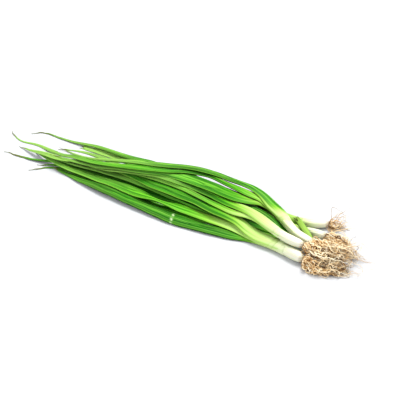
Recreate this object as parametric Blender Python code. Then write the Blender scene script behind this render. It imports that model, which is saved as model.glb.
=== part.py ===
"""A bunch of spring onions with their roots on, lying in a heap on a table.

Six whole plants. Each has a shaft, which is the white stalk of rolled leaf bases, the long green
leaves that part at the shaft's end, and the tuft of roots at its foot. Nothing ties them: the
leaves and shafts lie on each other as they were put down.

Every shaft, leaf and root tuft is a strand. A strand has a route over the table, seen from above,
and a flat-bottomed section that changes along it. The strands are laid one after another, and the
height of each comes from what it lies on: it is a stiff strip, bent only by its weight and by the
strands below it.

The frame is in metres with the table at z = 0. +X runs from the leaf tips to the roots, and the
origin is under the middle of the bunch. All sizes and plan positions below are in millimetres.
"""

import math
from typing import NamedTuple

import bmesh
import bpy
import numpy as np

MM = 0.001

# How the strands meet
LAY_GAP = 0.4  # left between a strand and what it lies on
JOINT_GAP = 0.3  # left between a shaft's faces and its leaves and roots
BASE_GAP = 0.7  # left between the leaf bases on one shaft's end, which lie flat on each other
BASE_WIDTH = 0.85  # share of the shaft's end that they cover

# How finely they are made
STATION = 15.0  # between the sections of a leaf
SHAFT_STATION = 11.0
SQUARE = 2.0  # from a strand's first section to its second, straight out of the shaft
LEAD = 9.0  # how far it goes on in the shaft's direction
SAMPLE = 0.75  # between the places where a strand looks for what is below it
CELL = 0.5  # of the height maps
LEAF_SIDES = 8
SHAFT_SIDES = 12
TABLE_X = (-300.0, 240.0)  # what the height maps cover
TABLE_Y = (-90.0, 70.0)

# How stiff they are: bending stiffness over weight per length, in mm3
LEAF_STIFFNESS = 4.0e4
SHAFT_STIFFNESS = 1.0e9
TUFT_STIFFNESS = 2.0e4
CONTACT = 1.0e5  # how firmly a strand is held off what it lies on
CLAMP = 3.0e3  # how firmly its base is held to its shaft
HINGE = 2.0e4  # how firmly it is held in line with its shaft
REACH = 30.0  # how far beyond its end a shaft looks for what it must clear
DAMPING = 0.2  # slows a strand's fall, so that it is caught by what is below it
ROUNDS = 120

# A shaft's outline, as shares of its length and of its radius, from the foot to the leaves
SHAFT_PROFILE = ((0.0, 0.80), (0.08, 1.12), (0.22, 1.06), (0.45, 0.98), (0.75, 0.98), (1.0, 1.0))
FAN_FROM = 0.45  # share of the length where the shaft starts to flatten towards its leaves
FAN_THICKNESS = 0.72

LEAF_GROWTH = 0.16  # share of a leaf's length in which it reaches its full width
LEAF_TIP = 0.45  # half width of a pointed tip
TIP_THICKNESS = 0.35

COLOURS = {
    "shaft": ((0.86, 0.88, 0.66, 1.0), 0.45),
    "leaf": ((0.16, 0.42, 0.06, 1.0), 0.40),
    "roots": ((0.62, 0.45, 0.25, 1.0), 0.85),
}


class Leaf(NamedTuple):
    """A leaf: its name, the plan points that it passes after its base, and its half sizes."""

    name: str
    way: tuple
    half_width: float
    half_thickness: float
    taper: float = 0.36  # share of the length over which it narrows to the tip
    arch: float = 0.0  # how far its middle stands off what is below
    base: tuple = ()  # plan point of its base, where it parts low on the shaft
    tip: float = LEAF_TIP  # half width of its end


class Plant(NamedTuple):
    """A plant: its shaft from foot to leaves, its leaves in the order laid, and its roots."""

    name: str
    shaft: tuple
    radius: float
    leaves: tuple
    roots: tuple  # plan points beyond the foot, to the roots' ends
    roots_half_width: float
    roots_half_thickness: float
    fan: float = 1.3  # half width of the shaft's end over its radius


class Strand(NamedTuple):
    """The stations of one piece, and how it is held to its plant's shaft."""

    name: str
    plan: np.ndarray
    half_width: np.ndarray
    half_thickness: np.ndarray
    sides: int
    stiffness: float
    shaft: str = ""  # the shaft that holds its first station, if one does
    end: int = 0  # the shaft's station that it is held at: first or last
    offset: float = 0.0  # how far above that station's middle
    arch: float = 0.0


# The plants
PLANTS = (
    Plant(
        name="far",
        shaft=((150, 20), (136, 14), (121, 10), (106, 10), (92, 12)),
        radius=4.6,
        leaves=(
            Leaf("torn", ((50, 8), (0, 11), (-50, 18), (-112, 29), (-150, 31), (-185, 31)), 5.6, 1.4,
                 taper=0.12, tip=4.0),
            Leaf("pointed", ((50, 2), (-10, 3), (-70, 8), (-120, 16), (-160, 22), (-185, 20), (-201, 14)),
                 4.6, 1.4),
            Leaf("wavy", ((50, 16), (0, 22), (-50, 31), (-83, 36), (-107, 30), (-138, 32), (-170, 34),
                          (-201, 34), (-226, 35), (-239, 38), (-253, 29)), 3.0, 1.7, arch=2.0),
        ),
        roots=((162, 24), (174, 28)),
        roots_half_width=6.0,
        roots_half_thickness=4.2,
    ),
    Plant(
        name="middle",
        shaft=((155, -1), (129, -3), (98, -4)),
        radius=4.5,
        leaves=(
            Leaf("low", ((50, -10), (0, -16), (-60, -18), (-110, -17), (-160, -18), (-195, -18)), 6.4, 1.3),
            Leaf("long", ((50, -6), (0, -8), (-60, -8), (-128, -9), (-170, -15), (-205, -20),
                          (-235, -23), (-257, -23)), 4.8, 1.4),
        ),
        roots=((172, -1), (186, -3)),
        roots_half_width=6.5,
        roots_half_thickness=4.5,
    ),
    Plant(
        name="short",
        shaft=((155, -16), (140, -17), (124, -18)),
        radius=4.4,
        leaves=(
            Leaf("outer", ((90, -22), (50, -29), (0, -34), (-60, -34), (-120, -27), (-165, -21), (-190, -24),
                           (-207, -40)), 5.4, 1.3),
            Leaf("inner", ((90, -16), (50, -17), (0, -21), (-60, -20), (-120, -17), (-165, -18), (-188, -19),
                           (-204, -27)), 6.0, 1.3),
            Leaf("shaded", ((103, -13), (88, -9), (66, -7), (20, -5), (-30, -2), (-80, 0)), 5.2, 1.6),
            Leaf("stub", ((134, -9), (124, 1), (114, 11)), 3.4, 1.4, taper=0.2, base=(143, -17), tip=2.6),
        ),
        roots=((180, -16), (199, -14)),
        roots_half_width=7.0,
        roots_half_thickness=4.5,
    ),
    Plant(
        name="near",
        shaft=((150, -51), (132, -46), (118, -42), (104, -39), (92, -38)),
        radius=6.0,
        leaves=(
            Leaf("edge", ((70, -42), (48, -45), (0, -49), (-55, -44), (-99, -38), (-144, -32), (-182, -26)),
                 7.8, 2.7, taper=0.3, tip=1.8),
            Leaf("bright", ((60, -33), (28, -32), (-5, -31), (-37, -35), (-75, -31), (-129, -26),
                            (-180, -23), (-210, -13), (-230, -4)), 8.2, 1.6, taper=0.6),
            Leaf("slim", ((55, -29), (20, -25), (-37, -17), (-75, -14), (-113, -14), (-150, -17),
                          (-200, -18)), 4.8, 1.5),
            Leaf("striped", ((62, -29), (40, -27), (13, -21), (-15, -17), (-57, -13), (-105, -5),
                             (-138, -8), (-171, -19), (-212, -13), (-249, -5)), 6.8, 1.7, taper=0.42),
        ),
        roots=((173, -49), (197, -40)),
        roots_half_width=9.5,
        roots_half_thickness=5.5,
        fan=1.42,
    ),
    Plant(
        name="centre",
        shaft=((145, -41), (130, -40), (115, -36), (99, -29), (84, -23)),
        radius=4.8,
        leaves=(
            Leaf("narrow", ((63, -25), (38, -21), (9, -15), (-23, -6), (-50, -5), (-80, -9), (-125, -9)),
                 3.4, 1.6),
            Leaf("broad", ((46, -14), (17, -6), (-12, -1), (-45, -1), (-80, -9), (-111, -16), (-155, -16)),
                 6.2, 1.6),
        ),
        roots=((173, -42), (194, -37)),
        roots_half_width=7.5,
        roots_half_thickness=4.2,
        fan=1.4,
    ),
    Plant(
        name="top",
        shaft=((150, -28), (134, -25), (118, -15), (102, -1), (87, 7)),
        radius=5.2,
        leaves=(
            Leaf("wide", ((62, -2), (46, -5), (24, 0), (-5, 4), (-35, 5), (-65, -5), (-97, -12),
                          (-130, -17), (-164, -19), (-190, -18)), 9.0, 1.7, taper=0.5),
            Leaf("curled", ((60, 5), (26, 12), (3, 19), (-18, 14), (-45, 1), (-75, -10), (-108, -16),
                            (-151, -16), (-179, -10), (-210, 4), (-236, 9), (-258, 5), (-278, 17)), 3.8, 1.6),
            Leaf("ridge", ((68, 14), (42, 15), (12, 20), (-15, 18), (-40, 9), (-70, 1), (-102, -3),
                           (-145, 8), (-200, 14)), 3.8, 1.7),
        ),
        roots=((177, -23), (203, -20)),
        roots_half_width=7.5,
        roots_half_thickness=4.2,
        fan=1.4,
    ),
)


# The order in which the pieces are laid down
ORDER = (
    "near_shaft near_roots short_shaft short_roots far_shaft far_roots middle_shaft middle_roots "
    "short_leaf_outer short_leaf_inner far_leaf_torn middle_leaf_low far_leaf_pointed "
    "middle_leaf_long short_leaf_shaded far_leaf_wavy "
    "near_leaf_edge near_leaf_bright near_leaf_slim near_leaf_striped "
    "centre_shaft centre_roots top_shaft top_roots short_leaf_stub "
    "centre_leaf_narrow centre_leaf_broad top_leaf_wide top_leaf_curled top_leaf_ridge"
).split()


def unit_section(sides):
    """Corners of a flat-bottomed regular polygon, scaled so that its box is 2 by 2."""
    turn = (np.arange(sides) + 0.5) * 2 * math.pi / sides
    corners = np.stack([np.sin(turn), -np.cos(turn)], axis=1)
    return corners / np.abs(corners).max(axis=0)


def section_depth(sides, across):
    """How far the unit section reaches below, and above, its middle at each share across it."""
    corners = unit_section(sides)
    right = corners[: sides // 4]
    return np.interp(np.abs(across), [0.0, *right[:, 0]], [1.0, *-right[:, 1]])


def arc_lengths(points):
    return np.concatenate([[0.0], np.cumsum(np.linalg.norm(np.diff(points, axis=0), axis=1))])


def smooth_route(way, spacing):
    """Evenly spaced points on a smooth curve through the plan points of a route."""
    way = np.array(way, float)
    at = arc_lengths(way)
    slopes = np.gradient(way, at, axis=0)
    fine = []
    for i in range(len(way) - 1):
        span = at[i + 1] - at[i]
        t = np.linspace(0, 1, max(4, int(span)), endpoint=False)[:, None]
        fine.append(
            (2 * t**3 - 3 * t**2 + 1) * way[i]
            + (t**3 - 2 * t**2 + t) * span * slopes[i]
            + (3 * t**2 - 2 * t**3) * way[i + 1]
            + (t**3 - t**2) * span * slopes[i + 1]
        )
    fine = np.concatenate([*fine, way[-1:]])
    along = arc_lengths(fine)
    stations = np.linspace(0, along[-1], round(along[-1] / spacing) + 1)
    return np.stack([np.interp(stations, along, fine[:, k]) for k in range(2)], axis=1)


def smooth_step(share):
    share = np.clip(share, 0, 1)
    return share * share * (3 - 2 * share)


def sideways(plan):
    """Unit vectors to the left of the route, in plan."""
    heading = np.gradient(plan, axis=0)
    heading /= np.linalg.norm(heading, axis=1)[:, None]
    return np.stack([-heading[:, 1], heading[:, 0]], axis=1)


def route_from(base, heading, way, spacing):
    """Plan points of a route that leaves its base square on, so that its first face is flat to it."""
    plan = smooth_route([base, base + LEAD * heading, *way], spacing)
    return np.insert(plan, 1, base + SQUARE * heading, axis=0)


def shaft_strand(plant):
    plan = smooth_route(plant.shaft, SHAFT_STATION)
    share = arc_lengths(plan) / arc_lengths(plan)[-1]
    radius = plant.radius * np.interp(share, *np.transpose(SHAFT_PROFILE))
    fan = smooth_step((share - FAN_FROM) / (1 - FAN_FROM))
    half_width = radius * (1 + (plant.fan - 1) * fan)
    half_thickness = radius * (1 + (FAN_THICKNESS - 1) * fan)
    return Strand(
        f"{plant.name}_shaft", plan, half_width, half_thickness, SHAFT_SIDES, SHAFT_STIFFNESS
    )


def leaf_strand(plant, leaf, shaft):
    """A leaf whose base is one of the layers of its shaft's end, or parts low on the shaft."""
    hold = {}
    if leaf.base:
        base_width = 0.6 * leaf.half_width
        base_thickness = leaf.half_thickness
        plan = smooth_route([leaf.base, *leaf.way], STATION / 3)
    else:
        layers = [other.name for other in plant.leaves if not other.base]
        heading = shaft.plan[-1] - shaft.plan[-2]
        heading /= np.linalg.norm(heading)
        base_width = BASE_WIDTH * shaft.half_width[-1]
        base_thickness = (shaft.half_thickness[-1] - (len(layers) - 1) * BASE_GAP / 2) / len(layers)
        base = shaft.plan[-1] + JOINT_GAP * heading
        plan = route_from(base, heading, leaf.way, STATION)
        level = layers.index(leaf.name) - (len(layers) - 1) / 2
        hold = {"shaft": shaft.name, "end": -1, "offset": level * (2 * base_thickness + BASE_GAP)}
    share = arc_lengths(plan) / arc_lengths(plan)[-1]
    grown = smooth_step(share / LEAF_GROWTH)
    left_over = np.clip((1 - share) / leaf.taper, 0, 1)
    half_width = (base_width + (leaf.half_width - base_width) * grown) * left_over**0.7
    half_thickness = (base_thickness + (leaf.half_thickness - base_thickness) * grown) * left_over**0.5
    return Strand(
        f"{plant.name}_leaf_{leaf.name}",
        plan,
        np.maximum(half_width, leaf.tip),
        np.maximum(half_thickness, TIP_THICKNESS),
        LEAF_SIDES,
        LEAF_STIFFNESS,
        arch=leaf.arch,
        **hold,
    )


def roots_strand(plant, shaft):
    """A tuft of roots as one closed form, starting against the shaft's foot."""
    out = shaft.plan[0] - shaft.plan[1]
    out /= np.linalg.norm(out)
    plan = route_from(shaft.plan[0] + JOINT_GAP * out, out, plant.roots, SHAFT_STATION)
    share = arc_lengths(plan) / arc_lengths(plan)[-1]
    swell = np.interp(share, (0, 0.3, 0.65, 1), (0, 0.5, 1, 0.6))
    foot = 0.8 * shaft.half_width[0]
    half_width = foot + (plant.roots_half_width - foot) * swell
    half_thickness = foot + (plant.roots_half_thickness - foot) * np.interp(share, (0, 0.25, 1), (0, 1, 1.2))
    return Strand(
        f"{plant.name}_roots", plan, half_width, half_thickness, LEAF_SIDES, TUFT_STIFFNESS, shaft.name
    )


class Heap:
    """What lies on the table so far, as one height map for each strand."""

    def __init__(self):
        self.tops = {}
        self.shape = tuple(int((high - low) / CELL) for low, high in (TABLE_X, TABLE_Y))

    def cells(self, points):
        i = ((points[..., 0] - TABLE_X[0]) / CELL).astype(int)
        j = ((points[..., 1] - TABLE_Y[0]) / CELL).astype(int)
        return i, j

    def footprint(self, strand, spacing):
        """Samples along and across a strand: how they mix its stations, plan points and depths."""
        at = arc_lengths(strand.plan)
        along = np.linspace(0, at[-1], int(at[-1] / spacing) + 1)
        mix = np.stack([np.interp(along, at, row) for row in np.eye(len(at))], axis=1)
        across = np.linspace(-1, 1, 2 * int(strand.half_width.max() / spacing) + 3)
        side = mix @ sideways(strand.plan)
        width = mix @ strand.half_width
        points = (mix @ strand.plan)[:, None] + across[None, :, None] * (side * width[:, None])[:, None]
        depths = np.outer(mix @ strand.half_thickness, section_depth(strand.sides, across))
        return mix, points, depths

    def need(self, strand, unseen):
        """The height that a strand's axis needs at each sample, to clear what is below it."""
        mix, points, depths = self.footprint(strand, SAMPLE)
        below = np.full(self.shape, -LAY_GAP)
        for name, top in self.tops.items():
            if name not in unseen:
                below = np.maximum(below, top)
        return mix, (below[self.cells(points)] + depths).max(axis=1) + LAY_GAP

    def add(self, strand, heights):
        mix, points, depths = self.footprint(strand, CELL / 3)
        top = np.full(self.shape, -LAY_GAP)
        np.maximum.at(top, self.cells(points), (mix @ heights)[:, None] + depths)
        wide = top.copy()
        for di in (-1, 0, 1):
            for dj in (-1, 0, 1):
                wide = np.maximum(wide, np.roll(top, (di, dj), axis=(0, 1)))
        self.tops[strand.name] = wide


def bending(at):
    """Matrix whose product with the station heights gives each inner station's curvature."""
    rows = np.zeros((len(at) - 2, len(at)))
    for i in range(1, len(at) - 1):
        before, after = at[i] - at[i - 1], at[i + 1] - at[i]
        share = math.sqrt((before + after) / 2)
        rows[i - 1, i - 1 : i + 2] = (
            share * 2 / before / (before + after),
            -share * 2 / before / after,
            share * 2 / after / (before + after),
        )
    return rows


def settled(strand, mix, need, start=None, slope=0.0):
    """Heights of a strand's stations, at rest on what is below it. Its start may be held."""
    at = arc_lengths(strand.plan)
    curvature = bending(at)
    beam = strand.stiffness * curvature.T @ curvature
    load = -np.gradient(at)
    if start is not None:
        grip = np.zeros((2, len(at)))
        grip[0, 0] = 1
        grip[1, :2] = (-1 / at[1], 1 / at[1])
        firmness = np.diag([CLAMP, HINGE])
        beam = beam + grip.T @ firmness @ grip
        load = load + grip.T @ firmness @ np.array([start, slope])
    def energy(heights):
        short = np.maximum(need - mix @ heights, 0)
        return heights @ beam @ heights / 2 - load @ heights + CONTACT * short @ short / 2

    heights = np.full(len(at), need.max())
    for _ in range(ROUNDS):
        held = mix * (mix @ heights < need)[:, None]
        pull = load - beam @ heights + CONTACT * held.T @ np.maximum(need - mix @ heights, 0)
        step = np.linalg.solve(beam + CONTACT * held.T @ held + DAMPING * np.eye(len(at)), pull)
        while energy(heights + step) > energy(heights) and np.abs(step).max() > 1e-4:
            step /= 2
        heights = heights + step
    short = need - mix @ heights
    lift = np.zeros(len(at))
    for row, gap in zip(mix, short, strict=True):
        if gap > 0:
            lift[row > 0] = np.maximum(lift[row > 0], gap)
    return np.round(heights + lift, 2)


def laid_shaft(heap, shaft):
    """Heights of a shaft that clears what is below it and a little way beyond its end."""
    heading = shaft.plan[-1] - shaft.plan[-2]
    beyond = shaft.plan[-1] + heading * REACH / np.linalg.norm(heading)
    longer = shaft._replace(
        plan=np.concatenate([shaft.plan, [beyond]]),
        half_width=np.append(shaft.half_width, shaft.half_width[-1]),
        half_thickness=np.append(shaft.half_thickness, shaft.half_thickness[-1]),
    )
    mix, need = heap.need(longer, set())
    return settled(longer, mix, need)[:-1]


def lay(plants, order):
    """Lays every strand on the heap in order, and returns each with the heights of its stations."""
    strands = {}
    for plant in plants:
        shaft = shaft_strand(plant)
        parts = [shaft, roots_strand(plant, shaft)]
        parts += [leaf_strand(plant, leaf, shaft) for leaf in plant.leaves]
        strands.update({strand.name: strand for strand in parts})
    heap = Heap()
    laid = {}
    for name in order:
        strand = strands[name]
        if strand.sides == SHAFT_SIDES:
            heights = laid_shaft(heap, strand)
        elif strand.shaft:
            shaft = strands[strand.shaft]
            at = laid[strand.shaft]
            slope = (at[-1] - at[-2]) / np.linalg.norm(shaft.plan[-1] - shaft.plan[-2]) if strand.end else 0
            mix, need = heap.need(strand, {strand.shaft})
            heights = settled(strand, mix, need, at[strand.end] + strand.offset, slope)
        else:
            mix, need = heap.need(strand, set())
            heights = settled(strand, mix, need)
        share = arc_lengths(strand.plan) / arc_lengths(strand.plan)[-1]
        laid[name] = np.round(heights + strand.arch * np.sin(math.pi * share) ** 2, 2)
        heap.add(strand, laid[name])
    return [(strands[name], laid[name]) for name in order]


def rings_of(strand, heights):
    """The strand's sections as rings of points, upright across its route."""
    side = sideways(strand.plan)
    corners = unit_section(strand.sides)
    rings = np.zeros((len(heights), strand.sides, 3))
    rings[..., :2] = (
        strand.plan[:, None] + (corners[None, :, :1] * strand.half_width[:, None, None]) * side[:, None]
    )
    rings[..., 2] = heights[:, None] + corners[None, :, 1] * strand.half_thickness[:, None]
    return rings


def material(kind):
    colour, roughness = COLOURS[kind]
    made = bpy.data.materials.new(kind)
    made.use_nodes = True
    shader = made.node_tree.nodes["Principled BSDF"]
    shader.inputs["Base Color"].default_value = colour
    shader.inputs["Roughness"].default_value = roughness
    made.diffuse_color = colour
    return made


def loft(name, rings, finish, collection):
    """A closed solid through the rings, with a flat cap on each end."""
    mesh = bpy.data.meshes.new(name)
    solid = bmesh.new()
    verts = [[solid.verts.new(point * MM) for point in ring] for ring in rings]
    sides = len(rings[0])
    for ring, after in zip(verts, verts[1:], strict=False):
        for k in range(sides):
            other = (k + 1) % sides
            solid.faces.new((ring[k], after[k], after[other], ring[other]))
    solid.faces.new(verts[0])
    solid.faces.new(verts[-1][::-1])
    bmesh.ops.recalc_face_normals(solid, faces=solid.faces)
    solid.to_mesh(mesh)
    solid.free()
    mesh.shade_smooth()
    mesh.set_sharp_from_angle(angle=math.radians(50))
    mesh.materials.append(finish)
    obj = bpy.data.objects.new(name, mesh)
    collection.objects.link(obj)
    return obj


def main():
    for obj in list(bpy.data.objects):
        bpy.data.objects.remove(obj)
    collection = bpy.data.collections.new("spring_onion_bunch")
    bpy.context.scene.collection.children.link(collection)
    finishes = {kind: material(kind) for kind in COLOURS}

    pieces = [(strand.name, rings_of(strand, heights)) for strand, heights in lay(PLANTS, ORDER)]
    corners = np.concatenate([rings.reshape(-1, 3) for _, rings in pieces])
    middle = (corners.min(axis=0) + corners.max(axis=0)) / 2
    under_middle = np.array([middle[0], middle[1], corners[:, 2].min()])
    for name, rings in pieces:
        kind = next(kind for kind in COLOURS if kind in name)
        loft(name, rings - under_middle, finishes[kind], collection)


main()
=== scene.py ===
"""Looks of a bunch of spring onions: leaves, shafts, roots, floor, light and camera.

Each visible piece takes its route and sizes from the CAD node that it stands for, read by cutting
the node with upright planes along its length. Lengths are in millimetres until a mesh is made.
"""
import math
from typing import NamedTuple

import bpy
import numpy as np
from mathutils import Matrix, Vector
from mathutils.bvhtree import BVHTree


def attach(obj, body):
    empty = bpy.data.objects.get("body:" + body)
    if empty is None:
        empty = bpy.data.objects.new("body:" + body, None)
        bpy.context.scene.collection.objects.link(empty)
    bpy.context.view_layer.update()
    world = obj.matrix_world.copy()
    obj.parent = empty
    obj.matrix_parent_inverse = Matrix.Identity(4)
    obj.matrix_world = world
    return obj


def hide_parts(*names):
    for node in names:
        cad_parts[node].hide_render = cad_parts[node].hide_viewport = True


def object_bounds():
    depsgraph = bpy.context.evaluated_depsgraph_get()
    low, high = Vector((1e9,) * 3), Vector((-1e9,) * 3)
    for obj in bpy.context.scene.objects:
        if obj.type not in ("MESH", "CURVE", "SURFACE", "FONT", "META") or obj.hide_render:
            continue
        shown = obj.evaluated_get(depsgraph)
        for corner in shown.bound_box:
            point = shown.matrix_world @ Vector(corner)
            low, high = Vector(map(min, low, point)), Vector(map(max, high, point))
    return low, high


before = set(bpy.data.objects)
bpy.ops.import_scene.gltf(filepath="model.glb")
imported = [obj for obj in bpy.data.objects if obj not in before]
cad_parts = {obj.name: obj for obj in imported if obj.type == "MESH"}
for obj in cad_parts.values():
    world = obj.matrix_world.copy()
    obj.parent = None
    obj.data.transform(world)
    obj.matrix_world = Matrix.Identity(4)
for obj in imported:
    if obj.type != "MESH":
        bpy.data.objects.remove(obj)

CAD_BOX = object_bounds()

MM = 0.001
TURN = 2 * math.pi
UP = np.array([0.0, 0.0, 1.0])
TABLE_GAP = 0.02  # least height of a leaf's or shaft's points over the table


# ---------------- reading the CAD nodes

END_SEARCH = 20.0  # how near to its end a node's end face is looked for
END_FLATNESS = 0.05  # how nearly its triangles look the same way
END_INSET = 0.2  # how far inside its end faces a route starts and ends
END_MARGINS = (9.0, 5.0, 3.0)  # how far from them its other points stay, pass by pass
ROUGH_STEP = 5.0  # between the cuts that find a route
ROUGH_FEWEST = 6
PASS_STEP = 4.0  # between the cuts of each pass that follows it
FEWEST_POINTS = 8


def triangles(node):
    """A CAD node's triangles, as (count, 3 corners, xyz)."""
    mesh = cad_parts[node].data
    mesh.calc_loop_triangles()
    points = np.zeros(len(mesh.vertices) * 3)
    mesh.vertices.foreach_get("co", points)
    corners = np.zeros(len(mesh.loop_triangles) * 3, int)
    mesh.loop_triangles.foreach_get("vertices", corners)
    return points.reshape(-1, 3)[corners].reshape(-1, 3, 3) / MM


def section(solid, point, way, reach=15.0):
    """Middle, half width and half thickness where an upright plane through a point cuts a solid."""
    normal = np.array([way[0], way[1], 0.0])
    side = np.array([-way[1], way[0], 0.0])
    depth = (solid - point) @ normal
    met = []
    for a, b in ((0, 1), (1, 2), (2, 0)):
        hit = depth[:, a] * depth[:, b] < 0
        share = depth[hit, a] / (depth[hit, a] - depth[hit, b])
        met.append(solid[hit, a] + share[:, None] * (solid[hit, b] - solid[hit, a]))
    met = np.concatenate(met)
    across = (met - point) @ side
    met, across = met[abs(across) < reach], across[abs(across) < reach]
    if len(met) < 3:
        return None
    low, high = met[:, 2].min(), met[:, 2].max()
    middle = point + side * (across.min() + across.max()) / 2
    return np.array([*middle[:2], (low + high) / 2]), np.ptp(across) / 2, (high - low) / 2


def unit(vectors):
    """One vector, or each of an array of them, at length 1."""
    if vectors.ndim == 1:
        return vectors / np.linalg.norm(vectors)
    return vectors / np.linalg.norm(vectors, axis=-1, keepdims=True)


def plan_ways(path):
    """Unit directions in plan at each point of a path."""
    return unit(np.gradient(path[:, :2], axis=0))


def lengths(path):
    """Distances along a path from its first point."""
    steps = np.linalg.norm(np.diff(path, axis=0), axis=1)
    return np.concatenate([[0.0], np.cumsum(steps)])


def smooth(values, span):
    """Gaussian smoothing along the first axis that leaves both ends where they are."""
    reach = min(max(1, int(3 * span)), len(values) - 1)
    kernel = np.exp(-0.5 * (np.arange(-reach, reach + 1) / span) ** 2)
    kernel /= kernel.sum()
    head = 2 * values[0] - values[reach:0:-1]
    tail = 2 * values[-1] - values[-2:-reach - 2:-1]
    padded = np.concatenate([head, values, tail])
    columns = padded.reshape(len(padded), -1)
    done = np.stack([np.convolve(c, kernel, "valid") for c in columns.T], axis=1)
    return done.reshape(values.shape)


class Run(NamedTuple):
    """A node's route and half sizes at even steps along it."""

    path: np.ndarray
    wide: np.ndarray
    thick: np.ndarray
    along: np.ndarray


def end_face(solid, near, way):
    """Middle of the flat face at the end of a node, and the level way that it looks."""
    looks = np.cross(solid[:, 1] - solid[:, 0], solid[:, 2] - solid[:, 0])
    area = np.linalg.norm(looks, axis=1)
    centres = solid.mean(axis=1)
    facing = looks[:, :2] @ way / area
    facing[np.linalg.norm((centres - near)[:, :2], axis=1) > END_SEARCH] = -1.0
    flat = facing > facing.max() - END_FLATNESS
    middle = (centres[flat] * area[flat, None]).sum(axis=0) / area[flat].sum()
    return middle, unit(looks[flat].sum(axis=0)[:2])


def found_at(places, gone, table):
    """Rows of values at some places, from rows that are known at the distances gone."""
    return np.stack([np.interp(places, gone, column) for column in table.T], axis=1)


def evenly(table, gone, step):
    """Rows that are known at the distances gone, found at even steps, and the distances of those."""
    even = np.linspace(0.0, gone[-1], max(FEWEST_POINTS, int(gone[-1] / step)))
    return found_at(even, gone, table), even


def trace(node, backwards, step=1.5, soften=4.0):
    """Reads a node's run from its base, the end with the larger x unless backwards is set."""
    solid = triangles(node)
    points = solid.reshape(-1, 3)
    start = points[:, :2].mean(axis=0)
    plan = points[:, :2] - start
    axis = np.linalg.svd(plan, full_matrices=False)[2][0]
    axis = axis if (axis[0] > 0) == backwards else -axis
    low, high = (plan @ axis).min(), (plan @ axis).max()
    path = []
    for along in np.linspace(low + 1.0, high - 1.0, max(ROUGH_FEWEST, int((high - low) / ROUGH_STEP))):
        found = section(solid, np.array([*(start + axis * along), 0.0]), axis)
        if found:
            path.append(found[0])
    path = np.array(path)
    base, base_look = end_face(solid, path[0], -plan_ways(path)[1])
    tip, tip_look = end_face(solid, path[-1], plan_ways(path)[-2])
    first = [*(base[:2] - base_look * END_INSET), base[2]]
    last = [*(tip[:2] - tip_look * END_INSET), tip[2]]
    for margin in END_MARGINS:
        off_ends = [np.linalg.norm((path - end)[:, :2], axis=1) for end in (base, tip)]
        path = np.array([first, *path[np.min(off_ends, axis=0) > margin], last])
        path, _ = evenly(path, lengths(path), PASS_STEP)
        ways = plan_ways(path)
        ways[0], ways[-1] = -base_look, tip_look
        cuts = [section(solid, point, way) for point, way in zip(path, ways)]
        table = np.array([[*cut[0], cut[1], cut[2]] for cut in cuts if cut])
        path = table[:, :3]
    table, even = evenly(table, lengths(path), step)
    table = smooth(table, soften / (even[1] - even[0]))
    return Run(table[:, :3], table[:, 3], table[:, 4], even)


def longer(run, before=0.0, after=0.0):
    """The same run carried on straight at its ends."""
    step = run.along[1] - run.along[0]
    head = int(round(before / step))
    tail = int(round(after / step))
    back = unit(run.path[0] - run.path[2])
    on = unit(run.path[-1] - run.path[-3])
    ahead = [run.path[0] + back * step * i for i in range(head, 0, -1)]
    behind = [run.path[-1] + on * step * i for i in range(1, tail + 1)]
    path = np.array([*ahead, *run.path, *behind])
    along = np.arange(-head, len(run.path) + tail) * step
    return Run(path, np.pad(run.wide, (head, tail), "edge"), np.pad(run.thick, (head, tail), "edge"), along)


# ---------------- shapes

def wander(along, amount, span, rng):
    """A smooth random value between about -amount and amount that changes over about one span."""
    total = np.zeros(len(along))
    for share, weight in ((1.0, 0.6), (0.53, 0.3), (0.27, 0.15)):
        total += weight * np.sin(along / (span * share) * TURN / 2 + rng.uniform(0, TURN))
    return amount * total


def rise(x, low, high):
    """0 below low, 1 above high, and smooth between them."""
    t = np.clip((x - low) / (high - low), 0.0, 1.0)
    return t * t * (3 - 2 * t)


def bump_at(x, middle, spread):
    """1 at the middle, falling away to both sides."""
    return np.exp(-0.5 * ((x - middle) / spread) ** 2)


def frames(path):
    """Unit vectors along a path, level across it and up from it."""
    ahead = unit(np.gradient(path, axis=0))
    across = unit(np.cross(UP, ahead))
    return ahead, across, np.cross(ahead, across)


def placed(path, x, z, push=None):
    """Rings of points from their places across and up, and how far each is pushed ahead."""
    ahead, across, up = frames(path)
    rings = path[:, None, :] + across[:, None, :] * x[..., None] + up[:, None, :] * z[..., None]
    if push is not None:
        rings = rings + ahead[:, None, :] * push[..., None]
    return rings


def around(sides):
    """Angles evenly round a ring."""
    return np.arange(sides) / sides * TURN


def boxed(wave, power):
    """A sine or cosine drawn towards -1 and 1, which makes a round ring a little boxy."""
    return np.sign(wave) * abs(wave) ** power


def grain_places(turn, along, rng):
    """Where the points of a tube are for a material's noise: round it, and in metres along it."""
    spread = np.ones((len(along), len(turn)))
    start = rng.uniform(0, 9)
    return np.stack([np.cos(turn) * spread, np.sin(turn) * spread,
                     (along * MM)[:, None] * spread + start], axis=-1)


def quads(many, sides):
    """The faces between the rings of a tube, whose points are numbered ring by ring."""
    first = np.arange(many - 1)[:, None] * sides
    here = first + np.arange(sides)
    turned = first + np.roll(np.arange(sides), -1)
    return np.stack([here, turned, turned + sides, here + sides], axis=-1).reshape(-1, 4)


def linked(name, data):
    """A new object in the scene."""
    made = bpy.data.objects.new(name, data)
    bpy.context.scene.collection.objects.link(made)
    return made


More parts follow.
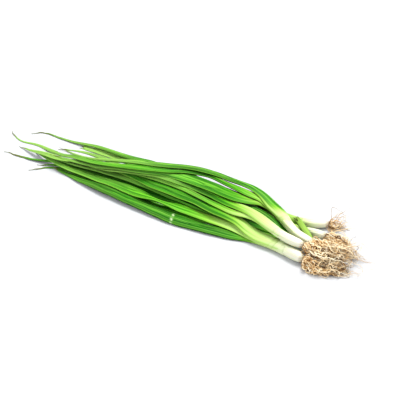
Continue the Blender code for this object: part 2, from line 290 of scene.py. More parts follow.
class Shape:
    """Collects tubes into one mesh, with values at its points for the material."""

    def __init__(self):
        self.points = []
        self.faces = []
        self.values = {}
        self.count = 0

    def tube(self, rings, **values):
        """Adds a closed tube. Each value is one number, one a ring, or one or three a point."""
        many, sides = rings.shape[:2]
        ends = np.stack([rings[0].mean(axis=0), rings[-1].mean(axis=0)])
        self.points.append(np.concatenate([rings.reshape(-1, 3), ends]))
        self.faces.extend((quads(many, sides) + self.count).tolist())
        low, high = self.count + many * sides, self.count + many * sides + 1
        last = self.count + (many - 1) * sides
        for i in range(sides):
            j = (i + 1) % sides
            self.faces.append([self.count + j, self.count + i, low])
            self.faces.append([last + i, last + j, high])
        for name, value in values.items():
            value = np.asarray(value, float)
            if value.ndim < 2:
                value = value.reshape(-1, 1) * np.ones((many, sides))
            caps = [ring.reshape(sides, -1).mean(axis=0) for ring in (value[0], value[-1])]
            flat = np.concatenate([value.reshape(many * sides, -1), caps])
            self.values.setdefault(name, []).append(flat)
        self.count += many * sides + 2

    def build(self, name, material, nodes):
        """Makes the object, and hides the CAD nodes that it stands for."""
        mesh = bpy.data.meshes.new(name)
        mesh.from_pydata((np.concatenate(self.points) * MM).tolist(), [], self.faces)
        mesh.polygons.foreach_set("use_smooth", [True] * len(mesh.polygons))
        for key, parts in self.values.items():
            flat = np.concatenate(parts)
            kind, field = ("FLOAT", "value") if flat.shape[1] == 1 else ("FLOAT_VECTOR", "vector")
            mesh.attributes.new(key, kind, "POINT").data.foreach_set(field, flat.ravel())
        mesh.materials.append(material)
        piece = linked(name, mesh)
        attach(piece, "root")
        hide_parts(*nodes)
        return piece


# ---------------- materials

class Shader:
    """A node material under construction."""

    def __init__(self, name):
        self.material = bpy.data.materials.new(name)
        self.material.use_nodes = True
        self.tree = self.material.node_tree
        self.tree.nodes.clear()

    def add(self, kind, inputs=None, **settings):
        made = self.tree.nodes.new(kind)
        for key, value in settings.items():
            setattr(made, key, value)
        for key, value in (inputs or {}).items():
            if isinstance(value, bpy.types.NodeSocket):
                self.tree.links.new(value, made.inputs[key])
            else:
                made.inputs[key].default_value = value
        return made

    def value(self, name):
        return self.add("ShaderNodeAttribute", attribute_name=name).outputs["Fac"]

    def vector(self, name):
        return self.add("ShaderNodeAttribute", attribute_name=name).outputs["Vector"]

    def math(self, operation, *terms, clamp=False):
        inputs = dict(enumerate(terms))
        return self.add("ShaderNodeMath", inputs, operation=operation, use_clamp=clamp).outputs[0]

    def noise(self, vector, scale, detail=2.0, roughness=0.5):
        inputs = {"Vector": vector, "Scale": scale, "Detail": detail, "Roughness": roughness}
        return self.add("ShaderNodeTexNoise", inputs).outputs["Fac"]

    def streaks(self, grain, across, along, detail, roughness):
        """Noise on a tube, at one scale round it and another along it."""
        inputs = {0: grain, 1: (across, across, along)}
        drawn_out = self.add("ShaderNodeVectorMath", inputs, operation="MULTIPLY").outputs[0]
        return self.noise(drawn_out, 1.0, detail, roughness)

    def times(self, first, second):
        return self.math("MULTIPLY", first, second)

    def uneven(self, value, noise):
        """A value raised or lowered by up to a quarter where the noise is high or low."""
        return self.math("ADD", value, self.times(self.math("SUBTRACT", noise, 0.5), 0.5))

    def step(self, value, low, high, first=0.0, last=1.0):
        """A number that goes from first to last while a value goes from low to high."""
        return self.ramp(value, [(low, first), (high, last)])

    def ramp(self, value, stops):
        """A value between stops, each a place and a colour or a number."""
        made = self.add("ShaderNodeValToRGB", {"Fac": value})
        elements = made.color_ramp.elements
        while len(elements) < len(stops):
            elements.new(0.5)
        for element, (place, colour) in zip(elements, stops):
            element.position = place
            colour = (colour,) * 3 if isinstance(colour, (int, float)) else colour
            element.color = (*colour, 1.0)
        return made.outputs["Color"]

    def mix(self, share, first, second, blend="MIX"):
        made = self.add("ShaderNodeMix", data_type="RGBA", blend_type=blend)
        for index, value in ((0, share), (6, first), (7, second)):
            if isinstance(value, bpy.types.NodeSocket):
                self.tree.links.new(value, made.inputs[index])
            else:
                made.inputs[index].default_value = value if index == 0 else (*value, 1.0)
        return made.outputs[2]

    def bump(self, height, strength, distance):
        inputs = {"Height": height, "Strength": strength, "Distance": distance}
        return self.add("ShaderNodeBump", inputs).outputs[0]

    def finish(self, colour, roughness, normal, **constants):
        inputs = {"Base Color": colour, "Roughness": roughness, "Normal": normal}
        inputs.update({key.replace("_", " "): value for key, value in constants.items()})
        surface = self.add("ShaderNodeBsdfPrincipled", inputs).outputs[0]
        self.add("ShaderNodeOutputMaterial", {"Surface": surface})
        return self.material


LIT = 0.78  # share of a seen colour that is the surface's own, under this light
TAN = 0.98  # the same for the roots, which shade each other


def srgb(red, green, blue, share=LIT):
    """A surface's linear colour from the screen values that it should be seen in."""
    values = []
    for part in (red, green, blue):
        part /= 255
        part = part / 12.92 if part <= 0.04045 else ((part + 0.055) / 1.055) ** 2.4
        values.append(part * share)
    return tuple(values)


SHAFT_STOPS = [
    (0.0, srgb(252, 246, 232)),
    (0.28, srgb(246, 249, 216)),
    (0.54, srgb(226, 242, 178)),
    (0.80, srgb(202, 234, 142)),
    (1.0, srgb(172, 218, 96)),
]
SHAFT_GREEN = (0.80, 0.93, 0.60)  # what its greener veins take from a shaft's colour

LEAF_STOPS = [
    (0.0, srgb(200, 236, 130)),
    (0.30, srgb(178, 230, 90)),
    (0.62, srgb(100, 196, 20)),
    (1.0, srgb(42, 160, 8)),
]

ROOT_STOPS = [
    (0.0, srgb(255, 248, 226, TAN)),
    (0.30, srgb(253, 232, 192, TAN)),
    (0.62, srgb(232, 192, 138, TAN)),
    (1.0, srgb(98, 60, 26, TAN)),
]


def painted_crowd_shade(s, colour, shade, amount):
    """A colour with painted shade, darkened where other parts of the bunch are close to it."""
    return s.mix(s.times(s.step(s.value("close"), 0.22, 0.66), amount), colour, shade)


def shaft_colour(s, tone, veins):
    """A shaft's colour at a tone, greener in its veins."""
    plain = s.ramp(tone, SHAFT_STOPS)
    veined = s.times(s.step(veins, 0.42, 0.66), 0.6)
    return s.mix(veined, plain, s.mix(1.0, plain, SHAFT_GREEN, "MULTIPLY"))


def fresh_green(s, grain, tone, veins, fine, patches):
    """A fresh leaf's colours, from a shaft's where tone is 0 to streaks of green where it is 1, with painted
    shade and highlights on its fold streaks.
    """
    tint_and_shade = s.value("tint_and_shade")
    bands = s.streaks(grain, 3.4, 8.0, 2.0, 0.55)
    folds = s.streaks(grain, 5.2, 8.0, 2.0, 0.6)

    pale = shaft_colour(s, s.value("blanch"), veins)
    base = s.mix(s.step(tone, 0.0, 0.30), pale, s.ramp(tone, LEAF_STOPS))
    deep = s.mix(s.step(patches, 0.32, 0.60, 0.0, 0.85), base, srgb(14, 116, 6))
    deep = s.mix(s.times(tone, 0.85), base, deep)
    # Below 0 the tint darkens, and on the low, hidden leaves that darkening is painted shade.
    darker = s.times(s.math("MULTIPLY", tint_and_shade, -0.85, clamp=True), tone)
    yellower = s.times(s.math("MULTIPLY", tint_and_shade, 0.85, clamp=True), tone)
    tinted_and_shaded = s.mix(darker, deep, srgb(4, 62, 4))
    tinted_and_shaded = s.mix(yellower, tinted_and_shaded, srgb(112, 210, 20))
    banded = s.mix(s.step(bands, 0.38, 0.50, 0.85, 0.0), tinted_and_shaded, srgb(8, 88, 3))
    banded = s.mix(s.step(bands, 0.53, 0.66, 0.0, 0.55), banded, srgb(132, 222, 52))
    banded = s.mix(s.times(tone, 0.9), tinted_and_shaded, banded)
    # Painted shade in the hollows of the fold streaks and painted highlights on their crests.
    hollow_shade = s.times(s.step(folds, 0.42, 0.49, 0.8, 0.0), tone)
    crest_highlight = s.times(s.step(folds, 0.53, 0.62, 0.0, 0.5), tone)
    folded = s.mix(hollow_shade, banded, srgb(12, 92, 4))
    folded = s.mix(crest_highlight, folded, srgb(150, 224, 84))
    stripes = s.times(s.step(veins, 0.42, 0.66), s.times(tone, 0.27))
    striped = s.mix(stripes, folded, srgb(158, 224, 98))
    lined = s.mix(s.step(fine, 0.36, 0.52, 0.65, 0.0), striped, srgb(14, 84, 6))
    return s.mix(s.times(tone, 0.75), striped, lined)


def leaf_material():
    """Leaves: fresh green, with painted highlights on their edges, painted shade in their folds and on their
    undersides, dry tips, and painted shade where other parts are close.
    """
    s = Shader("spring_onion_leaf")
    grain = s.vector("grain")
    tone = s.value("tone")
    veins = s.streaks(grain, 11.0, 9.0, 3.0, 0.62)
    fine = s.streaks(grain, 26.0, 30.0, 2.0, 0.6)
    patches = s.streaks(grain, 1.4, 26.0, 3.0, 0.55)

    fresh = fresh_green(s, grain, tone, veins, fine, patches)
    paler = s.times(s.value("wane"), s.step(veins, 0.35, 0.60, 0.35, 1.0))
    waning = s.mix(paler, fresh, srgb(182, 222, 120))
    # Painted highlight along the upper edges and crests.
    edge_highlighted = s.mix(s.times(s.value("edge"), 0.85), waning, srgb(178, 234, 92))
    scarred = s.mix(s.value("scar"), edge_highlighted, srgb(222, 240, 190))
    # Painted shade along the grooves on the upper side.
    creased = s.mix(s.times(s.value("fold"), s.times(tone, 0.85)), scarred, srgb(12, 66, 6))
    shaded = s.mix(s.times(s.value("under"), s.times(tone, 0.9)), creased, srgb(4, 34, 2))
    straw = s.mix(s.step(fine, 0.35, 0.65), srgb(88, 112, 38), srgb(146, 140, 80))
    dried = s.mix(s.step(s.uneven(s.value("dry"), patches), 0.15, 0.75), shaded, straw)
    # Painted shade where other parts are close: olive on the pale bases, near black on the green.
    pale_crowd_shaded = painted_crowd_shade(s, dried, srgb(128, 158, 50), 0.5)
    green_crowd_shaded = painted_crowd_shade(s, dried, srgb(1, 24, 0), 0.96)
    colour = s.mix(s.step(tone, 0.1, 0.55), pale_crowd_shaded, green_crowd_shaded)
    height = s.math("ADD", s.times(veins, 0.7), s.times(fine, 0.3))
    roughness = s.step(veins, 0.3, 0.7, 0.38, 0.54)
    return s.finish(colour, roughness, s.bump(height, 0.6, 0.0004), Specular_IOR_Level=0.12)


def shaft_material():
    """Shafts: white to light green, with fine lines at their layers' edges, soil at the foot and painted
    shade where other parts are close.
    """
    s = Shader("spring_onion_shaft")
    grain = s.vector("grain")
    veins = s.streaks(grain, 13.0, 12.0, 3.0, 0.6)
    flecks = s.streaks(grain, 5.0, 300.0, 4.0, 0.7)
    veined = shaft_colour(s, s.value("tone"), veins)
    lined = s.mix(s.times(s.value("edge"), 0.35), veined, srgb(206, 196, 150))
    dirt = s.times(s.value("soil"), s.step(flecks, 0.38, 0.62))
    dirty = s.mix(dirt, lined, srgb(150, 116, 74))
    colour = painted_crowd_shade(s, dirty, srgb(128, 146, 56), 0.5)
    roughness = s.step(veins, 0.3, 0.7, 0.34, 0.50)
    return s.finish(colour, roughness, s.bump(veins, 0.4, 0.0003), Specular_IOR_Level=0.25,
                    Subsurface_Weight=0.12, Subsurface_Scale=0.002)


def root_material():
    """Roots: cream to brown with age, with painted shade that darkens them deep in their tuft."""
    s = Shader("spring_onion_roots")
    flecks = s.streaks(s.vector("grain"), 1.2, 420.0, 4.0, 0.65)
    colour = s.ramp(s.uneven(s.value("age"), flecks), ROOT_STOPS)
    # Painted shade deep in the tuft.
    depth = s.times(s.math("POWER", s.value("deep"), 1.6), 0.95)
    sunk = s.mix(depth, colour, srgb(84, 46, 14, TAN))
    roughness = s.step(flecks, 0.3, 0.7, 0.62, 0.85)
    return s.finish(sunk, roughness, s.bump(flecks, 0.6, 0.0002), Specular_IOR_Level=0.25)


# ---------------- leaves

class Look(NamedTuple):
    """How one leaf looks. Places along it are in millimetres from its base."""

    pale: float  # how far from the base it stays pale
    tint_and_shade: float  # below 0 darker, which on the low, hidden leaves is painted shade; above 0 yellower
    dry: float  # how much of the tip is dry
    keel: float = 0.5  # how sharp the ridge along it is
    side: float = 0.0  # where the ridge is, from -1 to 1 across it
    roll: float = 8.0  # how far it rolls to and fro, in degrees
    twists: tuple = ()  # (place, degrees, spread)
    kinks: tuple = ()  # places where it is creased across
    torn: float = 0.0  # length of the teeth of a torn end
    edges: float = 0.5  # how strong the painted highlight on its edges and crests is
    green_from: float = -5.0  # where it starts to turn green
    lean: float = 10.0  # how much sooner it turns green at one side
    wane: float = 0.6  # how pale it is towards its tip
    tint_from: float = -60.0  # where its tint sets in, and with it the painted shade of a darker one
    gloom: float = 1.0  # how much painted shade the parts close to it give it
    fuller: float = 0.0  # how much wider it is near its tip
    straw: float = 0.0  # how dry all of it is


LOOKS = {
    "near_leaf_edge": Look(50, -0.4, 16, 0.55, 0.35, 5, kinks=(100,), edges=0.3, wane=0.1),
    "near_leaf_bright": Look(150, 0.50, 14, 0.6, -0.35, 6, twists=((128, 34, 14),), edges=0.9,
                             wane=0.5, green_from=20, gloom=0.4),
    "near_leaf_slim": Look(84, 0.0, 18, 0.7, 0.2, 9, lean=-14),
    "near_leaf_striped": Look(98, -0.05, 24, 0.35, 0.3, 8, twists=((255, 24, 22),), edges=0.9,
                              wane=0.9, fuller=0.4, gloom=0.8),
    "centre_leaf_narrow": Look(108, 0.50, 20, 0.8, -0.3, 9, edges=0.9, lean=-12),
    "centre_leaf_broad": Look(84, -0.2, 22, 0.35, 0.1, 7, wane=0.8),
    "top_leaf_wide": Look(84, -0.1, 24, 0.55, 0.3, 7, twists=((150, -22, 20),), wane=0.6),
    "top_leaf_curled": Look(80, 0.35, 26, 0.85, -0.1, 10, edges=0.9, wane=0.9),
    "top_leaf_ridge": Look(34, -0.3, 22, 0.8, 0.0, 10, edges=0.7, green_from=-48, wane=0.9, lean=-34),
    "far_leaf_torn": Look(70, 0.1, 0.5, 0.35, 0.0, 7, torn=6.0, wane=1.0, gloom=0.6),
    "far_leaf_pointed": Look(60, -0.1, 20, 0.6, 0.2, 8, wane=0.8),
    "far_leaf_wavy": Look(60, 0.25, 48, 0.8, 0.1, 12, edges=0.5, wane=0.7),
    "middle_leaf_low": Look(55, -0.9, 20, 0.4, 0.0, 6, edges=0.0, wane=0.0),
    "middle_leaf_long": Look(55, -0.35, 56, 0.7, 0.1, 10, edges=0.2, wane=0.1),
    "short_leaf_outer": Look(70, 0.1, 36, 0.6, 0.2, 8, wane=0.1, gloom=0.3),
    "short_leaf_inner": Look(60, -0.6, 24, 0.5, 0.0, 8, edges=0.8, wane=0.0, tint_from=110.0, gloom=0.25),
    "short_leaf_shaded": Look(24, -0.3, 14, 0.7, 0.2, 10, edges=0.6, green_from=-30, wane=0.0, gloom=0.6),
    "short_leaf_stub": Look(150, -0.1, 5, 0.4, 0.0, 5, torn=9.0, green_from=-30, wane=0.2,
                            edges=0.9, gloom=0.5, straw=0.36),
}

LEAF_SIDES = 44
SHEATH_FROM = 40.0  # how far before its shaft's end the first leaf's base starts to show
SHEATH_STEP = 6.0  # how much nearer to the end the next leaf's base starts
SHEATH_TO = 26.0  # how far beyond that end the base has the shaft's shape in it
SHEATH_SIZE = 0.90  # of a base where it starts, as a share of the shaft's
SHEATH_SWELL = 0.135  # how much is added to that once it is out of the shaft
SHEATH_LAYER = 0.014  # and how much more for each leaf outside the first
SHEATH_RIM = 7.0  # length over which it comes out
STUB = "short_leaf_stub"  # the one leaf whose base isn't wrapped round its shaft
STUB_BURIED = 9.0  # how far that goes on before its node
STUB_DIP = 4.5  # how far down that part bends
STUB_DROP = 0.8  # how much lower than its node all of the stub lies
TIP_GROWTH = 5.0  # how far the thin end of a tip goes beyond the node
THINNEST = 0.24  # half size of a leaf's last ring
BELLY = 1.3  # how much fuller a leaf is below than the node
FREE = (10.0, 50.0)  # where a leaf's own unevenness sets in
SHAFT_GREENING = 0.8  # how green a shaft is at its end
GREENING = {"far": 1.0, "middle": 1.0, "short": 0.95}  # the same for the greener plants

# How much something changes along a leaf, and over about what length.
WIDTH_CHANGE = (0.06, 34.0)
THICKNESS_CHANGE = (0.12, 46.0)
SWAY = (0.35, 42.0)
LEFT_FACE = (0.34, 66.0)
RIGHT_FACE = (0.34, 58.0)
TOP_TILT = (0.30, 85.0)
KEEL_CHANGE = (0.2, 90.0)
GROOVE_PLACE = (0.35, 50.0)
GROOVE_DEPTH = (0.34, 60.0)
RIB_PHASE = (1.2, 55.0)
TINT_CHANGE = (0.25, 90.0)
ROLL_SPAN = 75.0

FACE_SLOPE = 1.25  # how steep the flat faces at a leaf's sides are
DEEPEST = 0.40  # depth of the deeper of its grooves, as a share of its half thickness
RIBS = (7, 11)  # numbers of ribs round it, in two sets
RIB_HEIGHT = 0.045
TWIST_SQUEEZE = 0.34  # how much narrower a leaf is in the middle of a twist


def shaft_tone(plant, s, whole):
    """How far a shaft has turned from white to green, at distances from its foot."""
    if plant in GREENING:
        return GREENING[plant] * rise(s, 0.0, whole * 0.85)
    return SHAFT_GREENING * rise(s, 0.0, whole * 1.05)


def soft_least(*values, sharp=16.0):
    """The least of several surfaces, with a small rounding where they meet."""
    total = sum(np.exp(-sharp * v) for v in values)
    return -np.log(total) / sharp


def facets(x, s, look, rng):
    """Height of a leaf's upper side at shares x across it: flat faces that meet in long fold lines.

    Also how much of it is faces rather than a dome, and how deep in a groove each point is.
    """
    ready = rise(s, -6.0, 46.0)[:, None]
    left = np.clip(1 + look.side + wander(s, *LEFT_FACE, rng), 0.3, 1.8)[:, None]
    right = np.clip(1 - look.side + wander(s, *RIGHT_FACE, rng), 0.3, 1.8)[:, None]
    tilt = wander(s, *TOP_TILT, rng)[:, None]
    roof = soft_least((1 + x) / left * FACE_SLOPE, (1 - x) / right * FACE_SLOPE, 1.0 + tilt * x)
    dome = np.sqrt(np.clip(1 - x * x, 0.0, 1.0))
    share = np.clip(look.keel + wander(s, *KEEL_CHANGE, rng), 0.0, 1.0)[:, None] * ready
    top = dome * (1 - share) + np.clip(roof, 0.0, None) * share
    crease = np.zeros_like(top)
    for place, depth, width in ((look.side * 0.5, DEEPEST, 0.20), (-look.side * 0.6 - 0.25, 0.22, 0.13)):
        groove = (place + wander(s, *GROOVE_PLACE, rng))[:, None]
        deep = np.clip(0.2 + wander(s, *GROOVE_DEPTH, rng), 0.0, 0.5)[:, None] * ready * depth / DEEPEST
        line = np.clip(1 - abs(x - groove) / width, 0.0, 1.0)
        top = top * (1 - deep * line)
        crease = np.maximum(crease, line ** 2 * np.clip(deep * 3.2, 0.0, 1.0))
    return top, share, crease


def sheathed(run, start, stalk, first, layer):
    """The run of a leaf whose node begins at start, with its base wrapped round its shaft's end."""
    s = run.along
    back = np.clip(-s, 0.0, stalk.along[-1])
    backwards = np.column_stack(stalk[:3])[::-1]
    under = found_at(back, stalk.along, backwards)
    own_share = rise(s, -first, SHEATH_TO)
    outer = SHEATH_SIZE + (SHEATH_SWELL + SHEATH_LAYER * layer) * rise(s, -first, SHEATH_RIM - first)
    offset = (stalk.path[-1] - start) * UP
    path = np.where((s < 0)[:, None], under[:, :3] - offset * own_share[:, None],
                    run.path + offset * (1 - own_share)[:, None])
    wide = under[:, 3] * outer * (1 - own_share) + run.wide * own_share
    thick = under[:, 4] * outer * (1 - own_share) + run.thick * own_share
    return Run(smooth(path, 2.5), wide, thick, s)


def ringed(turn, s, look, rng):
    """Places across a leaf, from -1 to 1, and up from it in half thicknesses, and what facets tells."""
    sine = np.sin(turn)
    x = boxed(np.cos(turn), 0.92) * np.ones((len(s), 1))
    top, share, crease = facets(x, s, look, rng)
    dome = abs(sine) ** 0.85
    ribs = 0
    for waves in RIBS:
        phase = wander(s, *RIB_PHASE, rng) + rng.uniform(0, TURN)
        ribs = ribs + RIB_HEIGHT * np.cos(waves * turn + phase[:, None])
    ribs = ribs * rise(s, -10.0, 30.0)[:, None]
    belly = (1 + (BELLY - 1) * rise(s, *FREE))[:, None]
    z = np.where(sine >= 0, top * (1 + ribs) + 0.02, -(dome ** 0.8) * (1 + 0.4 * ribs) * belly)
    return x, z, top, share, crease


def kinked(x, z, s, turn, look):
    """Heights pressed in where a leaf is creased across, and the pale broken lines that show there."""
    scar = np.zeros_like(x)
    slanted = s[:, None] + 0.25 * x
    broken = np.clip(0.55 + np.sin(turn * 7 + 0.6) * 0.6, 0.1, 1.0)
    for place in look.kinks:
        z = z * (1 - 0.25 * bump_at(slanted, place, 1.2))
        scar = np.maximum(scar, bump_at(slanted, place + 1.6, 0.8) * broken)
    return z, scar


def leaf_run(own, look, stalk, first, layer, rng):
    """A leaf's run, from its base, wrapped round the shaft if there is one, to its end."""
    path, wide, thick, s = longer(own, first, 0.0 if look.torn else TIP_GROWTH)
    left = s[-1] - s
    wide = wide * (1 + wander(s, *WIDTH_CHANGE, rng) * rise(s, *FREE))
    wide = wide * (1 + look.fuller * bump_at(left, 70.0, 34.0))
    thick = thick * (1.08 + wander(s, *THICKNESS_CHANGE, rng) * rise(s, *FREE))
    if stalk:
        path, wide, thick, _ = sheathed(Run(path, wide, thick, s), own.path[0], stalk, first, layer)
    else:
        path[:, 2] -= STUB_DIP * rise(s, 5.0, -STUB_BURIED) + STUB_DROP
    _, across, _ = frames(path)
    sway = wander(s, *SWAY, rng) * rise(s, 20.0, 70.0)
    path = path + across * sway[:, None]
    if not look.torn:
        wide = np.maximum(wide * rise(left, -5.0, 12.0) ** 0.8, THINNEST)
        thick = np.maximum(thick * rise(left, -6.0, 12.0) ** 0.7, THINNEST)
    crumple = rise(left, look.dry * 1.1, 0.0) * (0.0 if look.torn else 1.0)
    path = path + across * wander(s, 0.9 * crumple, 11.0, rng)[:, None]
    path[:, 2] += 0.5 * crumple * (1 + wander(s, 1.0, 9.0, rng))
    return Run(path, wide, thick, s)


def twisted(s, look, rng):
    """How far a leaf is turned about its length at each place, and how much narrower that makes it."""
    left = s[-1] - s
    angle = wander(s, np.radians(look.roll), ROLL_SPAN, rng) * rise(s, 15.0, 70.0) * rise(left, 4.0, 40.0)
    squeeze = np.ones(len(s))
    for place, degrees, spread in look.twists:
        angle = angle + math.radians(degrees) * bump_at(s, place, spread)
        squeeze = squeeze * (1 - TWIST_SQUEEZE * bump_at(s, place, spread * 0.7))
    return angle, squeeze


def leaf_values(turn, s, shares, crest, leaving, look, rng):
    """How green, pale and dry a leaf is at its points, how its colour leans darker or yellower, and where it
    gets painted highlights on its edges and painted shade on its underside, for the material.
    """
    left = s[-1] - s
    sine = np.sin(turn)
    ragged = 5.0 * np.cos(turn * 6 + rng.uniform(0, TURN)) + 3.0 * np.cos(turn * 13)
    greening = rise(s[:, None] + look.lean * shares + ragged, look.green_from, look.pale)
    rim = abs(shares) ** 22 * rise(sine, -0.05, 0.22)
    grain = grain_places(turn, s, rng)
    tint_and_shade = look.tint_and_shade * rise(s, look.tint_from, look.tint_from + 50.0) + wander(s, *TINT_CHANGE, rng)
    return {
        "grain": grain,
        "tone": greening * leaving[:, None],
        "wane": look.wane * rise(left, 205.0, 50.0),
        "tint_and_shade": tint_and_shade,
        "edge": np.clip((rim + crest * 0.35) * look.edges * 1.5, 0, 1),
        "under": rise(-sine, 0.05, 0.55) * rise(s, -4.0, 30.0)[:, None],
        "dry": np.maximum(rise(left, look.dry, 0.0), look.straw),
    }


def leaf(node, look, material, stalk, layer, rng):
    """A flattened hollow leaf, from the shaft that its base is part of to its dry or torn tip.

    Without a stalk its base goes on a little before its node and bends down.
    """
    own = trace(node, False)
    first = SHEATH_FROM - SHEATH_STEP * layer if stalk else STUB_BURIED
    path, wide, thick, s = leaf_run(own, look, stalk, first, layer, rng)
    blanch = leaving = np.ones(len(s))
    if stalk:
        length = stalk.along[-1]
        blanch = shaft_tone(node.split("_")[0], length - np.clip(-s, 0.0, length), length)
        leaving = rise(s, -first, 2.0)

    turn = around(LEAF_SIDES)
    shares, z, top, faces, crease = ringed(turn, s, look, rng)
    angle, squeeze = twisted(s, look, rng)
    x = shares * wide[:, None] * squeeze[:, None]
    z, scar = kinked(x, z * thick[:, None], s, turn, look)
    turned_x = x * np.cos(angle)[:, None] - z * np.sin(angle)[:, None]
    turned_z = x * np.sin(angle)[:, None] + z * np.cos(angle)[:, None]
    path[:, 2] += abs(np.sin(angle)) * wide * 0.35
    push = None
    if look.torn:
        teeth = np.sin(turn * 3 + rng.uniform(0, TURN)) + 0.5 * np.sin(turn * 8 + rng.uniform(0, TURN))
        push = rise(s[-1] - s, 12.0, 0.0)[:, None] * (teeth - 1.2) * look.torn * 0.5
    rings = placed(path, turned_x, turned_z, push)
    rings[..., 2] = np.maximum(rings[..., 2], TABLE_GAP)

    upper = np.sin(turn) >= 0
    # Where a facet is highest on the upper side, for the painted highlight on its crests.
    crest = np.clip(top - 0.86, 0.0, 0.14) / 0.14 * faces * upper
    values = leaf_values(turn, s, shares, crest, leaving, look, rng)
    values.update(blanch=blanch, scar=scar, fold=crease * upper)
    if look.torn:
        rings, values = hollow_end(rings, values)
    made = Shape()
    made.tube(rings, **values)
    # Less painted shade from close parts towards the tip.
    gloom = look.gloom * (1 - 0.95 * rise(s[-1] - s, 260.0, 130.0))
    gloom = np.concatenate([gloom, np.ones(len(rings) - len(gloom))])
    return made.build(node, material, [node]), rings, gloom


def hollow_end(rings, values, wall=0.35, depth=5):
    """Turns a tube's last rings inwards, so that the leaf ends in an open mouth."""
    inner = rings[-depth:][::-1].copy()
    middle = inner.mean(axis=1, keepdims=True)
    arms = inner - middle
    size = np.linalg.norm(arms, axis=2, keepdims=True)
    inner = middle + arms * np.clip((size - wall) / np.maximum(size, 1e-6), 0.35, 1.0)
    grown = {key: np.concatenate([value, value[-depth:][::-1]]) for key, value in values.items()}
    return np.concatenate([rings, inner]), grown


# ---------------- shafts

SHAFT_SIDES = 72
SHAFT_LAYERS = 3  # rolled leaf bases whose edges show on it
LAYER_HEIGHT = 0.34
LAYER_SINK = 0.11  # how much of that goes below the shaft's own shape
LINE_WIDTH = 0.012  # of the line at a layer's edge, as a share of the way round
SINKS = 34.0  # length over which a shaft narrows into its leaves' bases
SUNK = 0.34  # how much it has narrowed at its end


def shaft(node, run, material, rng):
    """The stalk of rolled leaf bases, rounded at its foot. Its other end is inside the leaves' bases."""
    s, whole = run.along, run.along[-1]
    turn = around(SHAFT_SIDES)
    foot = np.sqrt(np.clip(1 - (1 - rise(s, -0.5, 5.5)) ** 2 * 0.62, 0.05, 1.0))
    sunk = 1 - SUNK * rise(s, whole - SINKS, whole - 2.0)
    wide = (run.wide * foot * sunk * (1 + wander(s, 0.02, 22.0, rng)))[:, None]
    thick = (run.thick * foot * sunk * (1 + wander(s, 0.02, 25.0, rng)))[:, None]
    relief = 0.05 * np.cos(turn * 17 + wander(s, 0.7, 40.0, rng)[:, None])
    relief = relief + 0.05 * np.cos(turn * 9 + wander(s, 1.1, 30.0, rng)[:, None])
    lines = np.zeros((len(s), SHAFT_SIDES))
    for layer in range(SHAFT_LAYERS):
        slope = rng.uniform(0.5, 1.6) * rng.choice([-1, 1])
        at = rng.uniform(0, TURN) + (s / whole * slope)[:, None]
        share = np.mod(turn - at, TURN) / TURN
        begins = rise(s, whole * (0.10 + 0.2 * layer), whole * (0.18 + 0.2 * layer))[:, None]
        relief = relief + (LAYER_HEIGHT * (1 - share) ** 2 * rise(share, 0.0, 0.03) - LAYER_SINK) * begins
        line = bump_at(share, 0.0, LINE_WIDTH) + bump_at(share, 1.0, LINE_WIDTH)
        lines = np.maximum(lines, line * begins)
    relief = relief * (rise(s, 1.0, 7.0) * rise(s, whole - 8.0, whole - SINKS))[:, None]
    x = boxed(np.cos(turn), 0.95) * (wide + relief)
    z = boxed(np.sin(turn), 0.95) * (thick + relief)
    rings = placed(run.path, x, z)
    rings[..., 2] = np.maximum(rings[..., 2], TABLE_GAP)
    tone = shaft_tone(node.split("_")[0], s, whole)
    made = Shape()
    made.tube(rings, grain=grain_places(turn, s, rng), tone=tone, edge=lines, soil=rise(s, 5.0, 0.0))
    return made.build(node, material, [node]), rings, np.ones(len(s))


# ---------------- roots

ROOT_SIDES = 6
ROOT_STEP = 1.0
ROOT_GAP = 0.01  # least height of a root's points over the table
WIRY = 1.39  # roots at least this loose leave the tuft
WIRE_RADIUS = 0.2  # for keeping a wire off the table
PLATE_SHARE = 0.72  # of the radius of the shaft's foot that roots grow from
TUFT_NECK = 0.72  # width of the tuft at its start, as a share of its full width
TUFT_EDGE = 0.8  # how far out of its middle, as a share of its size, roots start to turn back
TABLE_FEEL = 1.2  # how far over the table they start to turn up
BROWNING = 0.12  # how much older a root looks at its end


class Tuft(NamedTuple):
    """How one tuft of roots grows."""

    strands: int
    length: float  # of the longest
    spread: float  # how far they fan out
    wires: int  # fine roots that leave the tuft
    past: float  # how far past its end they go
    wild: float = 2.1  # how far out of it they bend
    loose: float = 1.0  # how far out of the node's shape the tuft swells
    lift: float = 0.0  # how much the fine ones stand up


TUFTS = {
    "near_roots": Tuft(104, 88, 1.2, 7, 10.0, 2.1, 1.12),
    "centre_roots": Tuft(74, 84, 1.0, 6, 12.0, 2.1, 1.06),
    "top_roots": Tuft(66, 80, 1.0, 12, 22.0, 2.8),
    "short_roots": Tuft(54, 66, 1.0, 9, 15.0, 2.8),
    "middle_roots": Tuft(38, 50, 1.0, 9, 13.0, 2.4),
    "far_roots": Tuft(28, 32, 0.9, 16, 16.0, 6.5, 1.0, 0.9),
}


def drift(gone, spans, phases):
    """A sway in three directions, each of a slow and a quicker wave."""
    slow = [math.sin(gone / span * TURN + phase) for span, phase in zip(spans[:3], phases[:3])]
    quick = [math.sin(gone / span * 2 * TURN + phase) for span, phase in zip(spans[3:], phases[3:])]
    return np.array([a + 0.6 * b for a, b in zip(slow, quick)])


